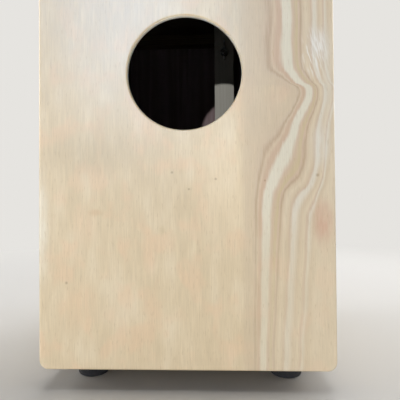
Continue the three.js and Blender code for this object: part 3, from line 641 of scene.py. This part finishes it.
def addBoards():
    boards = {"cornerRadius": 9.5, "cornerSteps": 10, "sideRound": 0.4, "insertRadius": 5,
              "insertDepth": 10.8, "insertSteps": 32}
    for node, inside, birch in (("top_board", -1, seatBirch), ("bottom_board", 1, baseBirch)):
        low, high = nodeBox(node)
        bm = startBlock(node)
        outer = flatAt(edgesAlong(bm, 1), 2, [low.z if inside > 0 else high.z])
        roundEdges(bm, outer, boards["cornerRadius"], boards["cornerSteps"])
        if node == "bottom_board":
            radius, end = boards["insertRadius"], low.z + boards["insertDepth"]
            drill(bm, 2, [(radius, low.z), (radius, end), (0, end)], middlesOf("lock_insert"),
                  boards["insertSteps"])
        markInner(bm, (0, 0, inside))
        finishPiece(bm, node, [birch, shadedInnerLevel])
    for node, inside in (("left_side", 1), ("right_side", -1)):
        bm = startStick(node, boards["sideRound"])
        markInner(bm, (inside, 0, 0))
        finishPiece(bm, node, [sideBirch, shadedInnerUpright])


def addBattens():
    strips = {"battenRound": 0.8, "filletRound": 1.2, "filletSteps": 2}
    for node in nodesNamed("corner_fillet"):
        # a block cut off from corner to corner, with its right angle glued into the box's corner
        bm = startBlock(node)
        inwards = (1 if "left" in node else -1, 0, 1 if "bottom" in node else -1)
        bmesh.ops.bisect_plane(bm, geom=bm.verts[:] + bm.edges[:] + bm.faces[:], dist=nearly / 10,
                               plane_co=nodeMiddle(node), plane_no=inwards, clear_outer=True)
        closeHoles(bm)
        bmesh.ops.remove_doubles(bm, verts=bm.verts, dist=nearly)
        roundEdges(bm, edgesAlong(bm, 1), strips["filletRound"], strips["filletSteps"])
        finishPiece(bm, node, [shadedSpruceDeep])
    for node in nodesNamed("front_batten"):
        upright = node.endswith(("left", "right"))
        finishPiece(startStick(node, strips["battenRound"]), node,
                    [shadedSpruceUpright if upright else shadedSpruceLevel])


def placeAlong(bm, node, direction):
    # turns local Z to the direction, and puts the local zero on the face of the node's box behind it
    low, high = nodeBox(node)
    way = Vector(direction)
    spot = (low + high) / 2
    for axis in range(3):
        if abs(way[axis]) > 0.5:
            spot[axis] = low[axis] if way[axis] > 0 else high[axis]
    turn = Vector((0, 0, 1)).rotation_difference(way).to_matrix()
    bmesh.ops.rotate(bm, cent=(0, 0, 0), matrix=turn, verts=bm.verts)
    bmesh.ops.translate(bm, vec=spot, verts=bm.verts)


def addThread(bm, screw, start, end):
    # a helix with a zigzag section about Z, closed at both ends, and drawn to a point over the taper
    first = set(bm.verts)
    radius, pitch, steps = screw["shankRadius"], screw["pitch"], screw["threadSteps"]
    halves = 2 * int((end - start) / pitch - 1)
    line = [bm.verts.new((radius - screw["threadDepth"] * (i % 2), 0, start + i * pitch / 2))
            for i in range(halves + 1)]
    edges = [bm.edges.new(pair) for pair in zip(line, line[1:])]
    bmesh.ops.spin(bm, geom=line + edges, cent=(0, 0, 0), axis=(0, 0, 1), angle=2 * pi, steps=steps,
                   dvec=(0, 0, pitch / steps), use_merge=False)
    bmesh.ops.remove_doubles(bm, verts=[vert for vert in bm.verts if vert not in first], dist=nearly)
    fresh = [vert for vert in bm.verts if vert not in first]
    closeHoles(bm)
    tip, taper = max(vert.co.z for vert in fresh), screw.get("taper", 0)
    bluntness = 0.08  # the point keeps this share of its width
    for vert in fresh:
        if vert.co.z > tip - taper:
            narrow = max(bluntness, (tip - vert.co.z) / taper)
            vert.co.x, vert.co.y = vert.co.x * narrow, vert.co.y * narrow


def finishScrew(bm, node, screw, neck, length, direction, metal):
    addThread(bm, screw, neck - screw["threadLap"], length)
    placeAlong(bm, node, direction)
    finishPiece(bm, node, [metal], sharpFrom=40)


# What the screws share: a pan head's round side in shares of its radius and height, a countersunk
# head's edge, the cross recess in shares of the head's radius, the plain neck before the thread, and
# the way that the point looks
crossScrew = {
    "panHead": [(0.62, 0), (0.86, 0.14), (0.97, 0.48), (1, 1)], "edge": 0.2, "armLength": 0.5,
    "armHalf": 0.14, "recessFloor": 0.5, "neck": 1, "threadLap": 0.3, "threadDepth": 0.5, "taper": 3,
    "steps": 32, "threadSteps": 18, "way": (0, 0, 1), "metal": zincSteel,
}


def addScrew(node, screw):
    # local Z points along the shank and the head's top is at zero
    bm = bmesh.new()
    head, shank = screw["headRadius"], screw["shankRadius"]
    if "headHeight" in screw:
        high = screw["headHeight"]
        line = [(out * head, down * high) for out, down in screw["panHead"]] + [(shank, high)]
    else:
        edge = screw["edge"]
        line = [(head - edge, 0), (head, edge), (shank, edge + head - shank)]
    neck = line[-1][1] + screw["neck"]
    turnLine(bm, line + [(shank, neck), (0, neck)], screw["steps"])
    # the cross recess narrows towards its floor
    arm, half, share = screw["armLength"] * head, screw["armHalf"] * head, screw["recessFloor"]
    corners = []
    for quarter in range(4):
        turn = Matrix.Rotation(quarter * pi / 2, 3, "Z")
        corners += [bm.verts.new(turn @ Vector(corner))
                    for corner in ((arm, -half, 0), (arm, half, 0), (half, half, 0))]
    cross = [bm.edges.new(pair) for pair in zip(corners, corners[1:] + corners[:1])]
    rim = [edge for edge in flatAt(bm.edges, 2, [0]) if edge.is_boundary]
    bmesh.ops.triangle_fill(bm, use_beauty=True, edges=rim + cross)
    floor = vertsOf(bmesh.ops.extrude_edge_only(bm, edges=cross)["geom"])
    bmesh.ops.scale(bm, vec=(share, share, 1), verts=floor)
    bmesh.ops.translate(bm, vec=(0, 0, screw["recess"]), verts=floor)
    bmesh.ops.contextual_create(bm, geom=[edge for edge in bm.edges
                                          if all(vert in floor for vert in edge.verts)])
    finishScrew(bm, node, screw, neck, screw["length"], screw["way"], screw["metal"])


def addScrews():
    # those with a head's height have a pan head, and the others are countersunk
    kinds = {
        "tapa_screw": {"headRadius": 3.75, "shankRadius": 1.8, "length": 17, "pitch": 1.6,
                       "recess": 1.6, "way": (0, 1, 0), "metal": blackOxide},
        "hoop_screw": {"headRadius": 4, "shankRadius": 2, "length": 11, "pitch": 1.6, "recess": 1.7,
                       "taper": 2.5, "way": (0, 0, -1)},
        "foot_screw": {"headRadius": 5, "headHeight": 3, "shankRadius": 2.25, "length": 21,
                       "threadDepth": 0.6, "pitch": 2, "recess": 1.8},
        "rail_screw": {"headRadius": 3.75, "headHeight": 2.3, "shankRadius": 2, "length": 13.8,
                       "pitch": 1.8, "recess": 1.4},
        "snare_screw": {"headRadius": 2.75, "headHeight": 1.2, "shankRadius": 1.3, "length": 10.2,
                        "threadDepth": 0.35, "pitch": 1, "recess": 0.8, "taper": 1.5,
                        "way": (0, 1, 0)},
    }
    for start, screw in kinds.items():
        for node in nodesNamed(start):
            addScrew(node, {**crossScrew, **screw})


def addFeet():
    foot = {"height": 20, "topRadius": 21, "topRound": 0.8, "topBend": 0.3, "tipRadius": 17,
            "tipRound": 2.5, "tipSteps": 6, "boreRadius": 2.5, "recessRadius": 7, "recessDepth": 11,
            "recessRound": 0.8, "mouthRound": 0.7, "ring": (1, 0.6), "grooveDepth": 0.5,
            "grooves": (13.6, 16.2), "grooveRise": (0.4, 0.9, 1.3), "steps": 72}
    tip, turnAt, groove = foot["tipRadius"], foot["tipRound"], foot["grooveDepth"]
    recess, deep = foot["recessRadius"], foot["recessDepth"]
    bend, mouth = foot["recessRound"], foot["mouthRound"]
    line = [(foot["boreRadius"], foot["height"]), (foot["boreRadius"], deep), (recess - bend, deep),
            (recess, deep - bend), (recess, mouth), (recess + mouth, 0)]
    # a shallow ring in the tread
    tread = (recess + tip - turnAt) / 2
    wide, narrow = foot["ring"]
    line += [(tread - wide, 0), (tread - narrow, groove), (tread + narrow, groove), (tread + wide, 0)]
    for step in range(foot["tipSteps"] + 1):
        turn = step / foot["tipSteps"] * pi / 2
        line.append((tip - turnAt * (1 - sin(turn)), turnAt * (1 - cos(turn))))
    top, height, lip = foot["topRadius"], foot["height"], foot["topRound"]
    slope = (top - tip) / (height - turnAt)
    # two moulded grooves below the top
    foldIn, foldOut, end = foot["grooveRise"]
    for level in foot["grooves"]:
        radius = tip + slope * (level - turnAt)
        line += [(radius, level), (radius - groove, level + foldIn),
                 (radius - groove + slope, level + foldOut), (radius + slope * end, level + end)]
    bend = foot["topBend"] * lip
    line += [(top - slope * lip, height - lip), (top - bend, height - bend), (top - lip, height)]
    for node in nodesNamed("foot_"):
        if "screw" not in node:
            bm = bmesh.new()
            turnLine(bm, line, foot["steps"], nodeMiddle(node), closed=True)
            finishPiece(bm, node, [footRubber], sharpFrom=40)


def addPostAndCarrier():
    sticks = {"round": 0.8, "boreRadius": 3.3, "boreSteps": 32, "headRadius": 6.8, "headDepth": 3.4}
    bore, head = sticks["boreRadius"], sticks["headRadius"]
    for node, wood in (("snare_post", postPoplar), ("snare_carrier", shadedSpruceUpright)):
        low, high = nodeBox(node)
        wall = [(bore, low.y), (bore, high.y)]
        if node == "snare_carrier":
            # its front has room for the bolts' heads
            step = low.y + sticks["headDepth"]
            wall = [(head, low.y), (head, step), (bore, step), (bore, high.y)]
        bm = startStick(node, sticks["round"])
        drill(bm, 1, wall, middlesOf("snare_bolt"), sticks["boreSteps"])
        finishPiece(bm, node, [wood])


def addSnareWires():
    wires = {"strands": 8, "spacing": 2.5, "coilRadius": 1.1, "wireRadius": 0.26, "wireSides": 5,
             "turnHeight": 1.3, "stepsPerTurn": 10, "overlap": 6, "plateHeight": 16,
             "plateThickness": 1.2, "plateRound": 0.3, "solder": 2.6, "solderInset": 0.6,
             "solderDepths": (1.5, 0.3), "solderRound": 0.7}
    low, high = nodeBox("snare_wires")
    plate, coil = wires["plateHeight"], wires["coilRadius"]
    start, end = low.z + plate - wires["overlap"], high.z - plate + wires["overlap"]
    turns = int((end - start) / wires["turnHeight"])
    bm = bmesh.new()
    half = (wires["strands"] - 1) / 2 * wires["spacing"]
    centre = Vector(((low.x + high.x) / 2 - half, low.y + coil, 0))
    reach = Vector((coil - wires["wireRadius"], 0, start))
    bmesh.ops.create_circle(bm, segments=wires["wireSides"], radius=wires["wireRadius"],
                            matrix=Matrix.Translation(centre + reach) @ Matrix.Rotation(pi / 2, 4, "X"))
    steps = turns * wires["stepsPerTurn"]
    bmesh.ops.spin(bm, geom=bm.verts[:] + bm.edges[:], cent=centre, axis=(0, 0, 1),
                   angle=turns * 2 * pi, steps=steps, dvec=(0, 0, (end - start) / steps),
                   use_merge=False)
    closeHoles(bm)
    strand = bm.verts[:] + bm.edges[:] + bm.faces[:]
    for i in range(1, wires["strands"]):
        copy = bmesh.ops.duplicate(bm, geom=strand)["geom"]
        bmesh.ops.translate(bm, vec=(i * wires["spacing"], 0, 0), verts=vertsOf(copy))
    # end plates, each with a bead of solder over the strands' ends
    front, inset, solder = high.y - wires["plateThickness"], wires["solderInset"], wires["solder"]
    proud, sunk = wires["solderDepths"]
    for foot, bead in ((low.z, low.z + plate - solder), (high.z - plate, high.z - plate)):
        for corner, other, radius in (
                ((low.x, front, foot), (high.x, high.y, foot + plate), wires["plateRound"]),
                ((low.x + inset, front - proud, bead), (high.x - inset, front + sunk, bead + solder),
                 wires["solderRound"])):
            cube = addBlock(bm, Vector(corner), Vector(other))
            roundEdges(bm, list({edge for vert in cube for edge in vert.link_edges}), radius, 2)
    finishPiece(bm, "snare_wires", [snareSteel], sharpFrom=50, evenFaces=False)


def addSnareBolts():
    # the head's dome is in shares of its radius and height
    bolt = {"dome": [(0, 0), (0.45, 0.04), (0.75, 0.22), (0.93, 0.55)], "headRadius": 6.5,
            "headHeight": 2.8, "edge": 0.3, "shankRadius": 3, "threadDepth": 0.45, "pitch": 1,
            "threadLength": 40, "threadLap": 0.5, "steps": 40, "threadSteps": 24}
    head, high, edge = bolt["headRadius"], bolt["headHeight"], bolt["edge"]
    for node in nodesNamed("snare_bolt"):
        low, top = nodeBox(node)
        length = top.y - low.y
        shank, plain = bolt["shankRadius"], length - bolt["threadLength"]
        line = [(out * head, down * high) for out, down in bolt["dome"]]
        line += [(head, high - edge), (head - edge, high), (shank, high), (shank, plain),
                 (shank - edge, plain + edge), (0, plain + edge)]
        bm = bmesh.new()
        turnLine(bm, line, bolt["steps"])
        finishScrew(bm, node, bolt, plain, length, (0, 1, 0), zincSteel)


def addLockNuts():
    nut = {"acrossFlats": 10, "boreRadius": 3.3, "boreSteps": 36, "edge": 0.5, "edgeSteps": 3}
    bore, edge = nut["boreRadius"], nut["edge"]
    for node in ("lock_nut_upper", "lock_nut_lower"):
        low, high = nodeBox(node)
        thickness = high.y - low.y
        bm = bmesh.new()
        bmesh.ops.create_circle(bm, cap_ends=True, segments=6, radius=nut["acrossFlats"] / sqrt(3))
        raiseFaces(bm, bm.faces[:], (0, 0, thickness))
        roundEdges(bm, flatAt(bm.edges, 2, [0, thickness]), edge, nut["edgeSteps"])
        wall = [(bore + edge, 0), (bore, edge), (bore, thickness - edge), (bore + edge, thickness)]
        drill(bm, 2, wall, [(0, 0, 0)], nut["boreSteps"])
        placeAlong(bm, node, (0, 1, 0))
        finishPiece(bm, node, [zincSteel], sharpFrom=30)


def addWingNuts():
    # cast in one piece: hub and wings are merged by a fine remesh, which leaves small fillets
    nut = {"boreRadius": 3.3, "hubRadius": 6, "topRadius": 5, "hubHeight": 7, "hubSteps": 48,
           "thickness": 2.4, "outline": [(4.2, 1.1), (9.2, 1.5), (12.6, 3.2), (14.4, 7.2), (14.5, 10.8),
                                         (13.2, 13), (11, 12.8), (9, 9.8), (6.8, 7.2), (4.2, 6.4)],
           "voxel": 0.32, "softening": 0.5, "softenRounds": 3}
    bore, height, thick = nut["boreRadius"], nut["hubHeight"], nut["thickness"]
    line = [(bore, 0), (nut["hubRadius"], 0), (nut["topRadius"], height), (bore, height)]
    for node in nodesNamed("wing_nut"):
        bm = bmesh.new()
        turnLine(bm, line, nut["hubSteps"], closed=True)
        for side in (-1, 1):
            corners = [bm.verts.new((-thick / 2, side * x, z)) for x, z in nut["outline"]]
            raiseFaces(bm, [bm.faces.new(corners)], (thick, 0, 0))
        placeAlong(bm, node, (0, 1, 0))
        piece = finishPiece(bm, node, [zincSteel], evenFaces=False)
        cast = piece.modifiers.new("cast in one", "REMESH")
        cast.mode, cast.voxel_size, cast.use_smooth_shade = "VOXEL", nut["voxel"] * mm, True
        soft = piece.modifiers.new("soft edges", "SMOOTH")
        soft.factor, soft.iterations = nut["softening"], nut["softenRounds"]


def addPedalPlate():
    plate = {"cornerRadius": 6, "cornerSteps": 8, "edgeRound": 0.5, "edgeSteps": 3, "slotRadius": 3.4,
             "slotSteps": 32, "travel": 45, "headRadius": 4.3, "shankRadius": 2.3, "sink": 0.2,
             "holeSteps": 32}
    low, high = nodeBox("pedal_plate")
    bm = startSheet("pedal_plate", 2, [low.z, high.z], plate)
    # the slot is a round hole with its rear half moved back by the travel
    middle, radius = nodeMiddle("lock_screw"), plate["slotRadius"]
    before = set(bm.verts)
    turnLine(bm, [(radius, low.z), (radius, high.z)], plate["slotSteps"], middle)
    ring = [vert for vert in bm.verts if vert not in before]
    halfStep = Matrix.Rotation(pi / plate["slotSteps"], 3, "Z")
    bmesh.ops.rotate(bm, cent=middle, matrix=halfStep, verts=ring)
    rear = [vert for vert in ring if vert.co.y > middle.y]
    bmesh.ops.translate(bm, vec=(0, plate["travel"], 0), verts=rear)
    drill(bm, 2, sunkHole(plate, high.z, low.z), middlesOf("hoop_screw"), plate["holeSteps"])
    finishPiece(bm, "pedal_plate", [powderCoat])

    block = {"cornerRadius": 5, "cornerSteps": 8, "edgeRound": 1.4, "edgeSteps": 4}
    low, high = nodeBox("hoop_block")
    finishPiece(startSheet("hoop_block", 2, [low.z, high.z], block), "hoop_block", [blockBeech])


def addRails():
    # steel strip folded twice: a lip under the plate, a web beside it and a flange against the base
    rail = {"steel": 1.5, "flange": 13.5, "bend": 1.9, "bendSteps": 4, "edge": 0.25, "edgeSteps": 2,
            "edgeAngle": 50}
    for side, node in ((-1, "plate_rail_left"), (1, "plate_rail_right")):
        low, high = nodeBox(node)
        inner, outer = (low.x, high.x) if side > 0 else (high.x, low.x)
        web = outer - side * rail["flange"]
        under = high.z - rail["steel"]
        bm = bmesh.new()
        line = [bm.verts.new((x, low.y, z))
                for x, z in ((inner, low.z), (web, low.z), (web, under), (outer, under))]
        edges = [bm.edges.new(pair) for pair in zip(line, line[1:])]
        pulled = bmesh.ops.extrude_edge_only(bm, edges=edges)["geom"]
        bmesh.ops.translate(bm, vec=(0, high.y - low.y, 0), verts=vertsOf(pulled))
        folds = [edge for edge in edgesAlong(bm, 1) if not edge.is_boundary]
        roundEdges(bm, folds, rail["bend"], rail["bendSteps"])
        bmesh.ops.recalc_face_normals(bm, faces=bm.faces)
        bm.normal_update()
        # the steel thickens upwards and towards the plate, whichever way the faces look
        upward = max(bm.faces, key=lambda face: face.calc_center_median().x * side).normal.z > 0
        bmesh.ops.solidify(bm, geom=bm.faces[:], thickness=-rail["steel"] if upward else rail["steel"])
        piece = finishPiece(bm, node, [powderCoat], sharpFrom=40)
        edge = piece.modifiers.new("coated edges", "BEVEL")
        edge.width, edge.segments = rail["edge"] * mm, rail["edgeSteps"]
        edge.angle_limit = radians(rail["edgeAngle"])
        piece.modifiers.move(len(piece.modifiers) - 1, 0)


def addLockScrew():
    screw = {"knobRadius": 12, "knobHeight": 9, "grooveDepth": 1.4, "lobes": 14, "stepsPerLobe": 8,
             "rimRound": 0.9, "rimSteps": 3, "dishInset": 3.2, "dishSlope": 0.8, "dishDepth": 1,
             "shankRadius": 3, "shankFrom": 4, "collar": 0.8, "steps": 32, "threadDepth": 0.45,
             "pitch": 1, "threadLap": 0.5, "threadSteps": 24}
    low, high = nodeBox("lock_screw")
    knob, height = screw["knobRadius"], screw["knobHeight"]
    bm = bmesh.new()
    bmesh.ops.create_circle(bm, cap_ends=True, segments=screw["lobes"] * screw["stepsPerLobe"],
                            radius=knob)
    for vert in bm.verts:
        wave = 1 - cos(screw["lobes"] * atan2(vert.co.y, vert.co.x))
        vert.co *= 1 - screw["grooveDepth"] / 2 * wave / knob
    raiseFaces(bm, bm.faces[:], (0, 0, height))
    roundEdges(bm, flatAt(bm.edges, 2, [0, height]), screw["rimRound"], screw["rimSteps"])
    dish = flatAt(bm.faces, 2, [0])
    bmesh.ops.inset_region(bm, faces=dish, thickness=screw["dishInset"], depth=0)
    bmesh.ops.inset_region(bm, faces=dish, thickness=screw["dishSlope"], depth=-screw["dishDepth"])
    # the shank starts inside the knob
    shank, start, plain = screw["shankRadius"], screw["shankFrom"], height + screw["collar"]
    turnLine(bm, [(0, start), (shank, start), (shank, plain), (0, plain)], screw["steps"])
    finishScrew(bm, "lock_screw", screw, plain, high.z - low.z, (0, 0, 1), powderCoat)

    insert = {"boreRadius": 3.3, "radius": 4.7, "edge": 0.4, "steps": 40}
    low, high = nodeBox("lock_insert")
    bore, radius, edge = insert["boreRadius"], insert["radius"], insert["edge"]
    bm = bmesh.new()
    line = [(bore, low.z + edge), (bore + edge, low.z), (radius - edge, low.z), (radius, low.z + edge),
            (radius, high.z), (bore, high.z)]
    turnLine(bm, line, insert["steps"], nodeMiddle("lock_insert"), closed=True)
    finishPiece(bm, "lock_insert", [turnedBrass], sharpFrom=40)


addBackPanel()
addTapa()
addBoards()
addBattens()
addScrews()
addFeet()
print("Box, battens, screws and feet made")
addPostAndCarrier()
addSnareWires()
addSnareBolts()
addLockNuts()
addWingNuts()
print("Snare action made")
addPedalPlate()
addRails()
addLockScrew()
print("Pedal plate made")


def backdropRays(add):
    # 1 for the rays that should see the plain background: straight, mirrored and through glass
    rays = add("LightPath").node.outputs
    shown = add("Math MAXIMUM", [rays["Is Camera Ray"], rays["Is Glossy Ray"]])
    return add("Math MAXIMUM", [shown, rays["Is Transmission Ray"]])


def addStage():
    # a floor that fades into the background away from the part, and light from all around
    stage = {"size": 14, "floor": "#d2d0cc", "floorRoughness": 0.9, "background": "#e6e4e0",
             "fadeStart": 0.4, "fadeEnd": 1.3, "ambientColour": "#f2f4fa", "ambient": 0.1}
    floorMesh = bpy.data.meshes.new("floor")
    bm = bmesh.new()
    bmesh.ops.create_grid(bm, x_segments=1, y_segments=1, size=stage["size"] / 2)
    bm.to_mesh(floorMesh)
    bm.free()
    floor = addObject("floor", floorMesh)
    material, add, shader = startMaterial("matt pale floor")
    floorMesh.materials.append(material)
    fillSockets(shader, {"Base Color": stage["floor"], "Roughness": stage["floorRoughness"]})
    place = add("TexCoord").node.outputs["Object"]
    far = add("VectorMath LENGTH", [place]).node.outputs["Value"]
    fade = add("MapRange", [far, stage["fadeStart"], stage["fadeEnd"]], **smooth)
    share = add("Math MULTIPLY", [fade, backdropRays(add)])
    glow = add("Emission", [stage["background"], 1.0])
    mixed = add("MixShader", [share, shader.outputs[0], glow])
    tree = material.node_tree
    tree.links.new(mixed, tree.nodes["Material Output"].inputs["Surface"])

    world = bpy.data.worlds.new("pale studio")
    world.use_nodes = True
    bpy.context.scene.world = world
    tree = world.node_tree
    add = partial(addNode, tree)
    light = tree.nodes["Background"]
    fillSockets(light, {"Color": stage["ambientColour"], "Strength": stage["ambient"]})
    backdrop = add("Background", [stage["background"], 1.0])
    both = add("MixShader", [backdropRays(add), light.outputs[0], backdrop])
    tree.links.new(both, tree.nodes["World Output"].inputs["Surface"])


def addLamp(name, kind, place, energy, aim=(0, 0, 0.25), colour="#ffffff", **settings):
    lamp = addObject(name, bpy.data.lights.new(name, kind))
    lamp.location = place
    lamp.rotation_euler = (Vector(aim) - Vector(place)).to_track_quat("-Z", "Y").to_euler()
    lamp.data.energy = energy
    lamp.data.color = linear(colour)[:3]
    for setting, value in settings.items():
        setattr(lamp.data, setting, value)
    lamp.visible_camera = False
    return lamp


def addLights():
    # a low sun from behind reaches the post through the sound hole, a window and a rim light give the
    # lacquer its sheen, a small lamp below brightens the upper wall of the hole, and soft boxes light
    # the front, the sides and the seat
    sun = addLamp("low sun", "SUN", (0.225, 1.0, 0.0135), 1.75, (0, 0, 0), angle=radians(1.2))
    sun.visible_glossy = False
    window = addLamp("window", "AREA", (0.42, 1.9, 1.3), 32, (0.05, 0.15, 0.4), "#a6cfff",
                     shape="RECTANGLE", size=0.75, size_y=1.2)
    window.visible_diffuse = False
    rimLight = addLamp("rim light", "AREA", (1.9, 0.75, 0.9), 6, (0, 0.15, 0.25), size=0.9)
    rimLight.visible_diffuse = False
    addLamp("low soft box", "AREA", (0.8, 0.85, 0.2), 0.7, (0, 0.15, 0.15), size=0.5,
            spread=radians(100))
    addLamp("hole lamp", "AREA", (-0.12, 0.23, 0.02), 0.009, (0.01, 0.148, 0.37), size=0.04,
            spread=radians(30))
    addLamp("front soft box", "AREA", (-0.9, -2.1, 1.2), 50, shape="RECTANGLE", size=2.8, size_y=1.9)
    addLamp("left soft box", "AREA", (-2.1, -0.2, 1.1), 18, size=1.2)
    addLamp("right soft box", "AREA", (2.1, -0.3, 1.1), 18, size=1.2)
    addLamp("overhead soft box", "AREA", (0, -0.3, 2.5), 26, size=1.6)


def addCamera():
    view = {"place": (-0.0284, 0.5189, 0.1863), "turns": (90.732, 0.414, -177.926), "lens": 33.124,
            "sensor": 36, "clipStart": 0.02}
    camera = addObject("camera", bpy.data.cameras.new("camera"))
    camera.location = view["place"]
    camera.rotation_euler = Euler([radians(turn) for turn in view["turns"]])
    camera.data.sensor_width, camera.data.lens = view["sensor"], view["lens"]
    camera.data.clip_start = view["clipStart"]
    bpy.context.scene.camera = camera


addStage()
addLights()
addCamera()
bpy.context.scene.view_settings.view_transform = "Standard"
print("Stage, lights and camera made")
